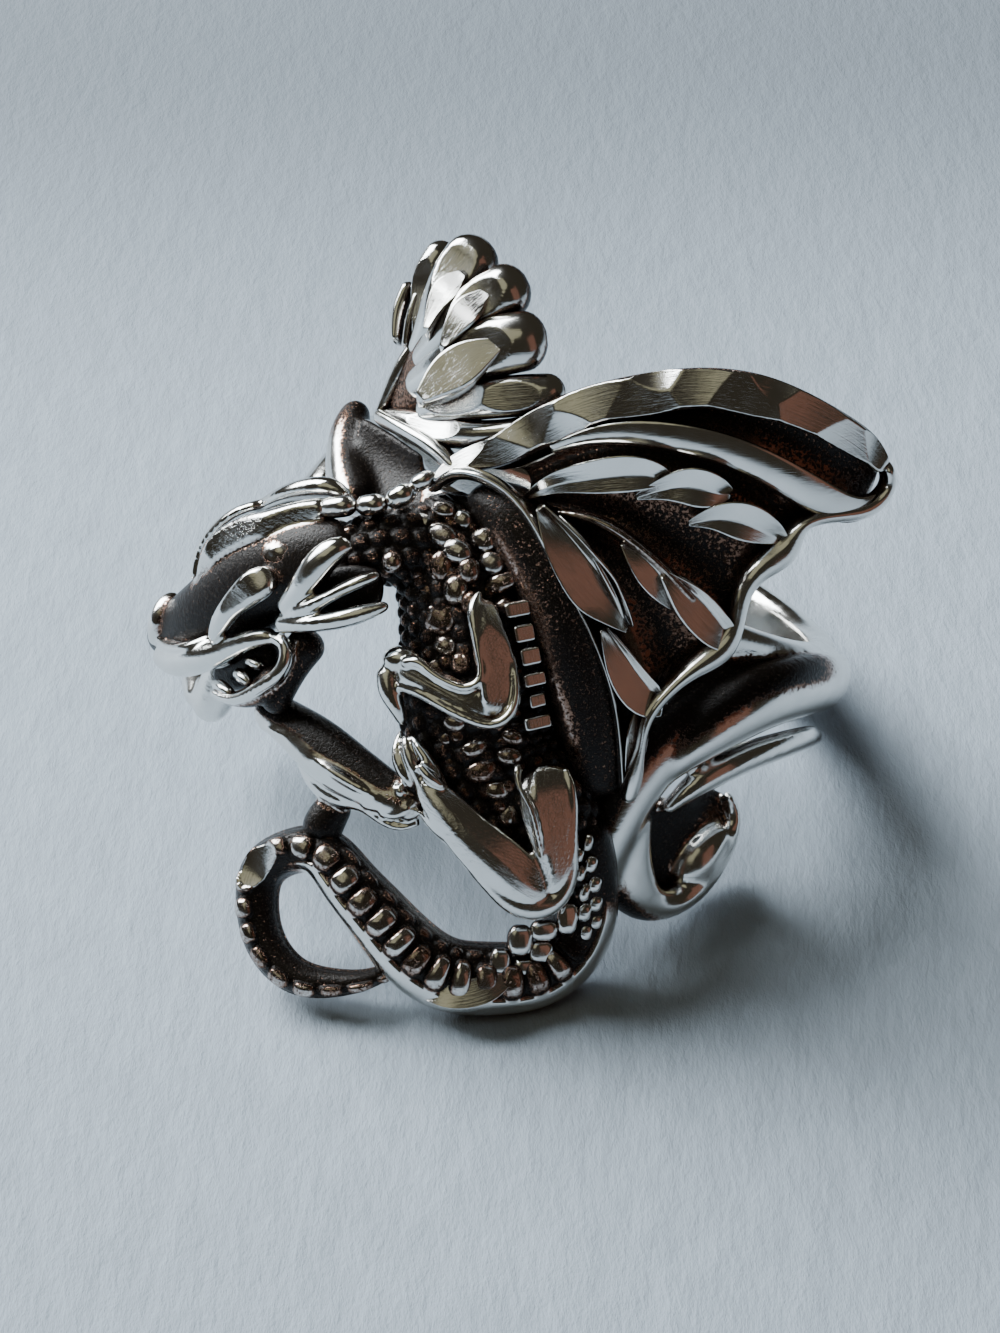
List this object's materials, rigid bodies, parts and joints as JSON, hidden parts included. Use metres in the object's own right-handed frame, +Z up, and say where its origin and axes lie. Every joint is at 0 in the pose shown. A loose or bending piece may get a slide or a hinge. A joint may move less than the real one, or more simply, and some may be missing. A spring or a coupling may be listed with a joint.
{
  "type": "figured finger ring",
  "caption": "Cast silver finger ring: a narrow band whose front is a winged dragon in side view, with spread wings, bent limbs and a tail that curls below the finger.",
  "frame": {"origin": "centre of the outline on the floor, under the ring as it lies at rest", "axes": "+Z up with the floor at Z = 0; the dragon looks out towards -Y and its head points to -X; the finger bore leans from +Z towards +X and +Y"},
  "size_m": [0.0242, 0.0256, 0.0209],
  "materials": {
    "silver": "polished sterling silver with blackened recesses"
  },
  "bodies": {
    "root": {"ring_casting": "silver"}
  },
  "joints": []
}
